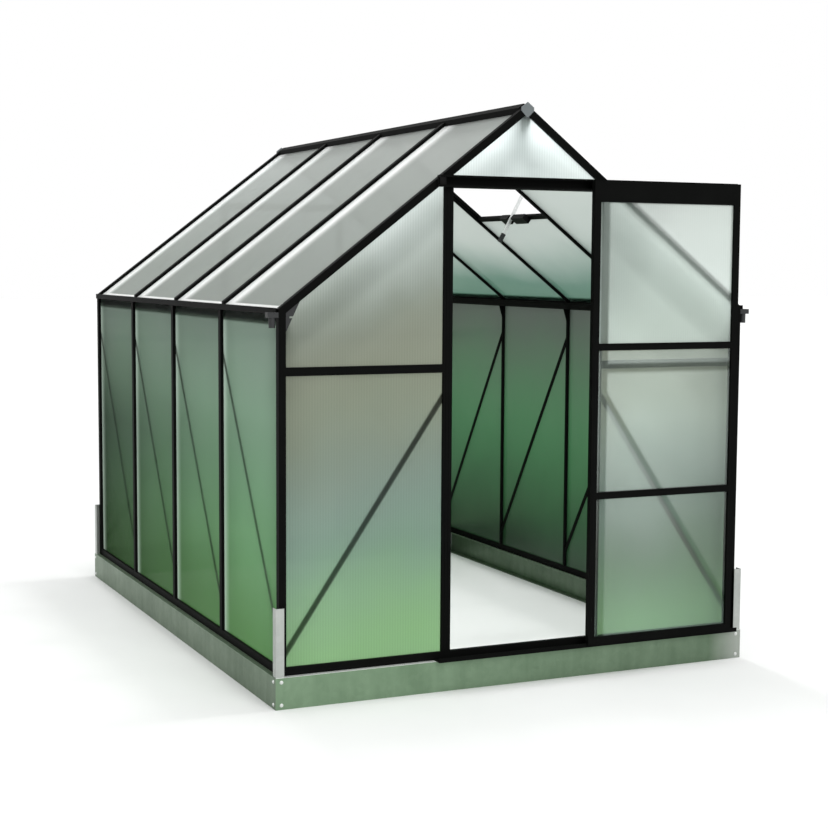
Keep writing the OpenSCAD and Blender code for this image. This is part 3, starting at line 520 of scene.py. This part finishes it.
def twin_wall(name, across, stops, low_z, high_z, cover, through, bar_highlight_tone=None, bar_highlight_from=0.0,
              bar_highlight_reach=0.1, back_shade=1.0, flute_depth=1.0, clear_below=0.0, clear_cover=0.0):
    """Fluted sheet. The axis across crosses the flutes, and the stops are tones from low_z to high_z. cover is
    how much of a skin hides what is behind it, and through is the share of that which shows light from behind.
    A painted highlight in the tone given lies beside each bar, full out to the first distance given and gone at
    the second. The tones darken to back_shade at the back of the house, as painted shade, less so near the top.
    flute_depth weakens the flutes' lines. Below the height clear_below, a skin hides only clear_cover."""
    finish, tree, shader = new_finish(name)
    place = part_place(tree)
    axes = node(tree, "SeparateXYZ", {"Vector": place})
    flutes = node(tree, "Math", {0: axes.outputs[across], 1: 2 * math.pi / flute_pitch}, operation="MULTIPLY")
    wave = node(tree, "Math", {0: flutes.outputs[0]}, operation="SINE")
    height = node(tree, "MapRange", {"Value": axes.outputs["Z"], "From Min": low_z, "From Max": high_z})
    haze = node(tree, "TexNoise", {"Vector": place, "Scale": 1.6, "Detail": 3.0})
    drift = node(tree, "Math", {0: haze.outputs["Fac"], 1: tone_drift, 2: -tone_drift / 2},
                 operation="MULTIPLY_ADD")
    drifted = node(tree, "Math", {0: height.outputs[0], 1: drift.outputs[0]}, operation="ADD", use_clamp=True)
    tone = node(tree, "ValToRGB", {"Fac": drifted.outputs[0]})
    tone.color_ramp.interpolation = "CARDINAL"
    ramp = tone.color_ramp.elements
    while len(ramp) < len(stops):
        ramp.new(0.5)
    for stop, (position, colour) in zip(ramp, stops):
        stop.position = position
        stop.color = (*colour, 1)
    colour = tone.outputs["Color"]
    # Painted shade: the tones darken towards the back of the house, most of all low down.
    if back_shade != 1.0:
        depth = node(tree, "MapRange", {"Value": axes.outputs["Y"], "From Min": shade_from,
                                        "From Max": shade_to, "To Min": 1.0, "To Max": back_shade})
        low_share = node(tree, "MapRange", {"Value": height.outputs[0], "From Min": shade_weak_from,
                                            "From Max": 1.0, "To Min": 1.0, "To Max": shade_at_top})
        colour = node(tree, "MixRGB", {"Fac": low_share.outputs[0], "Color1": colour,
                                       "Color2": depth.outputs[0]}, blend_type="MULTIPLY").outputs["Color"]
    # Painted highlight beside each bar, strongest at the bar and fading away from it.
    if bar_highlight_tone:
        from_bar = node(tree, "Math", {0: frame_middle, 1: axes.outputs["Y"]}, operation="SUBTRACT")
        bays = node(tree, "Math", {0: from_bar.outputs[0], 1: bay}, operation="DIVIDE")
        share = node(tree, "Math", {0: bays.outputs[0]}, operation="FRACT")
        near = node(tree, "MapRange", {"Value": share.outputs[0], "From Min": bar_highlight_from / bay,
                                       "From Max": bar_highlight_reach / bay, "To Min": 1.0, "To Max": 0.0})
        fade = node(tree, "Math", {0: near.outputs[0], 1: bar_highlight_falloff}, operation="POWER")
        colour = node(tree, "MixRGB", {"Fac": fade.outputs[0], "Color1": colour,
                                       "Color2": (*bar_highlight_tone, 1)}).outputs["Color"]
    worn_place = node(tree, "Mapping", {"Vector": place, "Scale": (60.0, 60.0, 1.5)})
    worn = node(tree, "TexNoise", {"Vector": worn_place.outputs[0], "Scale": 1.0, "Detail": 2.0})
    lines = node(tree, "Math", {0: wave.outputs[0], 1: worn.outputs["Fac"]}, operation="MULTIPLY")
    shade = node(tree, "MapRange", {"Value": lines.outputs[0], "From Min": -0.8, "From Max": 0.8,
                                    "To Min": 1 - flute_dark * flute_depth,
                                    "To Max": 1 + flute_bright * flute_depth})
    lined = node(tree, "MixRGB", {"Fac": 1.0, "Color1": colour, "Color2": shade.outputs[0]},
                 blend_type="MULTIPLY")
    tree.links.new(lined.outputs["Color"], shader.inputs["Base Color"])
    ribs = node(tree, "Bump", {"Height": wave.outputs[0], "Strength": 0.12, "Distance": 0.0006})
    tree.links.new(ribs.outputs[0], shader.inputs["Normal"])
    shader.inputs["Roughness"].default_value = 0.28
    passed_on = node(tree, "BsdfTranslucent", {"Color": lined.outputs["Color"]})
    clear = node(tree, "BsdfTransparent")
    skin = node(tree, "MixShader", {0: through, 1: shader.outputs[0], 2: passed_on.outputs[0]})
    hides = node(tree, "MapRange", {"Value": axes.outputs["Z"], "From Min": clear_below,
                                    "From Max": clear_below + clear_fade, "To Min": clear_cover,
                                    "To Max": cover})
    solid = node(tree, "Math", {0: wave.outputs[0], 1: flute_cover * flute_depth, 2: hides.outputs[0]},
                 operation="MULTIPLY_ADD")
    sheet = node(tree, "MixShader", {0: solid.outputs[0], 1: clear.outputs[0], 2: skin.outputs[0]})
    tree.links.new(sheet.outputs[0], tree.nodes["Material Output"].inputs["Surface"])
    return finish


# Each side has its own copy of the sheet's tones. The green low down is a painted reflection of the ground and
# the pale tones near the top are painted light. The right wall's copy is darker all over and the right roof's
# is darker low down, as painted shade.
left_sheet = twin_wall(
    "left_sheet", "Y",
    ((0.0, (0.115, 0.25, 0.095)), (0.5, (0.20, 0.34, 0.215)), (1.0, (0.23, 0.29, 0.25))),
    low_z=0.15, high_z=1.30, cover=0.85, through=0.95,
    # the pale band beside each bar is a painted highlight
    bar_highlight_tone=(0.56, 0.64, 0.58), bar_highlight_from=0.0, bar_highlight_reach=0.080, back_shade=0.22)
right_sheet = twin_wall(
    "right_sheet", "Y",
    ((0.0, (0.010, 0.033, 0.013)), (0.5, (0.07, 0.19, 0.09)), (1.0, (0.11, 0.13, 0.115))),
    low_z=0.15, high_z=1.30, cover=0.90, through=0.6)
gable_sheet = twin_wall(
    "gable_sheet", "X",
    ((0.0, (0.225, 0.37, 0.20)), (0.24, (0.22, 0.295, 0.25)), (0.5, (0.255, 0.275, 0.22)),
     (0.66, (0.355, 0.385, 0.355)), (0.92, (0.74, 0.78, 0.78))),
    low_z=0.15, high_z=2.05, cover=0.86, through=0.92)
roof_sheet = twin_wall(
    "roof_sheet", "Y",
    ((0.0, (0.34, 0.37, 0.345)), (0.3, (0.36, 0.39, 0.365)), (1.0, (0.47, 0.49, 0.475))),
    low_z=1.35, high_z=2.05, cover=0.82, through=0.5,
    # the white band beside each roof bar is a painted highlight
    bar_highlight_tone=(1.0, 1.0, 1.0), bar_highlight_from=0.075, bar_highlight_reach=0.165)
far_roof_sheet = twin_wall(
    "far_roof_sheet", "Y",
    ((0.0, (0.10, 0.20, 0.15)), (0.12, (0.15, 0.24, 0.20)), (0.38, (0.41, 0.45, 0.43)),
     (1.0, (0.44, 0.475, 0.455))),
    low_z=1.35, high_z=2.05, cover=0.80, through=0.5)
door_sheet = twin_wall(
    "door_sheet", "X",
    ((0.0, (0.25, 0.325, 0.29)), (0.22, (0.22, 0.23, 0.215)), (0.5, (0.58, 0.65, 0.62)),
     (1.0, (0.425, 0.465, 0.44))),
    low_z=0.15, high_z=1.70, cover=0.62, through=0.92, flute_depth=0.3, clear_below=1.2065, clear_cover=0.32)
for sheet_finish, sheet_name in ((left_sheet, "left_wall_panes"), (right_sheet, "right_wall_panes"),
                                 (gable_sheet, "front_wall_panes"), (gable_sheet, "back_wall_panes"),
                                 (roof_sheet, "left_roof_panes"), (far_roof_sheet, "right_roof_panes")):
    paint(sheet_finish, sheet_name)
    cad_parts[sheet_name].visible_shadow = False


# End strips: bright angle strips of pale plastic, pressed over the lower edge of each roof sheet to close its
# flutes above the gutter. The long leg lies on the sheet, and the short lip turns down over its end.
roof_slope = math.radians(37.5)
eave_x = 0.926
eave_z = 1.350
sheet_depth = 0.0123
sheet_end = 0.0012
strip_leg = 0.028
strip_lip = 0.004
strip_thickness = 0.0009
strip_easing = 0.0002
strip_gap = 0.015
strip_plastic = moulded_plastic("strip_plastic", (0.80, 0.82, 0.80), (0.92, 0.93, 0.92), 0.35)


def end_strip(name, y_low, y_high, side):
    """An angle strip along Y over the end of a roof sheet: side is -1 on the left slope and 1 on the right."""
    piece = block(name, (0, y_low, 0), (strip_leg, y_high, strip_thickness))
    pick_faces(piece, lambda middle, normal: normal.x < -facing)
    push_faces(-strip_thickness, 0, 0)
    pick_faces(piece, lambda middle, normal: normal.z < -facing and middle.x < 0)
    push_faces(0, 0, -strip_lip)
    pick_faces(piece, lambda middle, normal: abs(normal.y) < 0.1)
    bpy.ops.mesh.bevel(offset=strip_easing, segments=2, affect="EDGES")
    bpy.ops.object.mode_set(mode="OBJECT")
    lean = Matrix.Translation((-eave_x, 0, eave_z)) @ Matrix.Rotation(-roof_slope, 4, "Y")
    piece.data.transform(lean @ Matrix.Translation((sheet_end, 0, -sheet_depth)))
    if side > 0:
        piece.data.transform(Matrix.Scale(-1, 4, (1, 0, 0)))
        pick_faces(piece, lambda middle, normal: True)
        bpy.ops.mesh.normals_make_consistent(inside=False)
        bpy.ops.object.mode_set(mode="OBJECT")
    piece.data.materials.append(strip_plastic)
    return piece


roof_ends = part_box("roof_rests")
strip_lines = [roof_ends[0][1] - strip_gap] + bar_lines + [roof_ends[1][1] + strip_gap]
for number in range(bay_count):
    for side_name, side in (("left", -1), ("right", 1)):
        strip = end_strip(f"end_strip_{side_name}_{number}", strip_lines[number] + strip_gap,
                          strip_lines[number + 1] - strip_gap, side)
        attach(strip, "house")


# Roof vent: a small sash of the same slotted extrusion round one sheet, hinged at the ridge beam and propped
# open on a galvanised stay bar, whose holes drop over a pin between two blocks on the cross bar below.
black_plastic = moulded_plastic("black_plastic", (0.004, 0.004, 0.004), (0.008, 0.008, 0.008), 0.5, 0.05)
stay_zinc = zinc_finish("stay_zinc", (0.84, 0.85, 0.85), (0.94, 0.95, 0.95), 0.1)
paint(black_coat, "vent_sill", "vent_rails", "vent_stiles")
paint(black_plastic, "vent_peg")
paint(far_roof_sheet, "vent_pane")
paint(stay_zinc, "vent_stay")
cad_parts["vent_pane"].visible_shadow = False


# Stay grip: a moulded dark plastic sleeve pushed over the stay's free end, where a hand lifts it off the pin.
# It is ribbed across for the fingers.
stay_peg = Vector((0.4256, 0.0, 1.6949))
stay_head = Vector((0.5565, 0.0, 1.9408))
stay_line = (stay_head - stay_peg).normalized()
stay_middle_y = (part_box("vent_stay")[0][1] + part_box("vent_stay")[1][1]) / 2
tail_length = 0.112
grip_overhang = 0.002
grip_length = 0.040
grip_width = 0.020
grip_thickness = 0.009
grip_groove = 0.86
grip_easing = 0.0011
rib_count = 5
rib_pitch = grip_length / (2 * rib_count)


def grip_sleeve(name, finish):
    """The sleeve lying along +Z from the origin, wide in X, thin in Y."""
    piece = block(name, (-grip_width / 2, -grip_thickness / 2, 0),
                  (grip_width / 2, grip_thickness / 2, rib_pitch))
    pick_faces(piece, lambda middle, normal: normal.z > facing)
    for step in range(2 * rib_count - 1):
        squeeze = grip_groove if step % 2 == 0 else 1 / grip_groove
        push_faces(0, 0, rib_pitch)
        bpy.ops.transform.resize(value=(squeeze, squeeze, 1.0))
    bpy.ops.mesh.select_all(action="SELECT")
    bpy.ops.mesh.bevel(offset=grip_easing, segments=2, affect="EDGES")
    bpy.ops.mesh.normals_make_consistent(inside=False)
    bpy.ops.object.mode_set(mode="OBJECT")
    bpy.ops.object.shade_smooth_by_angle(angle=strip_smoothing)
    piece.data.materials.append(finish)
    return piece


stay_grip = grip_sleeve("stay_grip", dark_plastic)
grip_foot = stay_peg - stay_line * (tail_length + grip_overhang) + Vector((0, stay_middle_y, 0))
grip_lean = Matrix.Rotation(math.atan2(stay_line.x, stay_line.z), 4, "Y")
stay_grip.data.transform(Matrix.Translation(grip_foot) @ grip_lean)
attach(stay_grip, "house")


# Door gear: a channel that opens to the front, screwed over the doorway, and a guide strip with an upright lip
# that keeps the door's foot in line. Both are black aluminium, cut from extruded lengths.
paint(black_coat, "door_track", "door_guide")


# Track stops: moulded plastic blocks pushed into both ends of the track's channel, which stop the door's wheels
# from running out. Their outer faces are hollowed.
stop_length = 0.022
stop_play = 0.0004
stop_rim = 0.004
stop_hollow = 0.006
stop_easing = 0.0012
track_wall = 0.0025
track_low, track_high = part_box("door_track")


def track_stop(name, x_low, x_high, outer_end):
    """A block that fills the channel, with its outer end drawn in and its edges eased."""
    inset = track_wall + stop_play
    piece = block(name, (x_low, track_low[1] + inset, track_low[2] + inset),
                  (x_high, track_high[1] - inset, track_high[2] - inset))
    pick_faces(piece, lambda middle, normal: normal.x * outer_end > facing)
    bpy.ops.mesh.inset(thickness=stop_rim)
    push_faces(-stop_hollow * outer_end, 0, 0)
    bpy.ops.object.mode_set(mode="OBJECT")
    eased = piece.modifiers.new("eased", "BEVEL")
    eased.width = stop_easing
    eased.segments = 2
    bpy.ops.object.modifier_apply(modifier="eased")
    bpy.ops.object.shade_smooth_by_angle(angle=strip_smoothing)
    piece.data.materials.append(black_plastic)
    return piece


for stop_name, x_low, x_high, outer_end in (
        ("left", track_low[0], track_low[0] + stop_length, -1),
        ("right", track_high[0] - stop_length, track_high[0], 1)):
    stop = track_stop(f"track_stop_{stop_name}", x_low, x_high, outer_end)
    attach(stop, "house")


# Door: stiles and rails of black slotted extrusion round three sheets, screwed together at the corners. It
# hangs in the track on two hangers with wheels, moulded in dark plastic.
paint(black_coat, "door_stiles", "door_rails")
paint(door_sheet, "door_panes")
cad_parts["door_panes"].visible_shadow = False
paint(dark_plastic, "door_hangers")
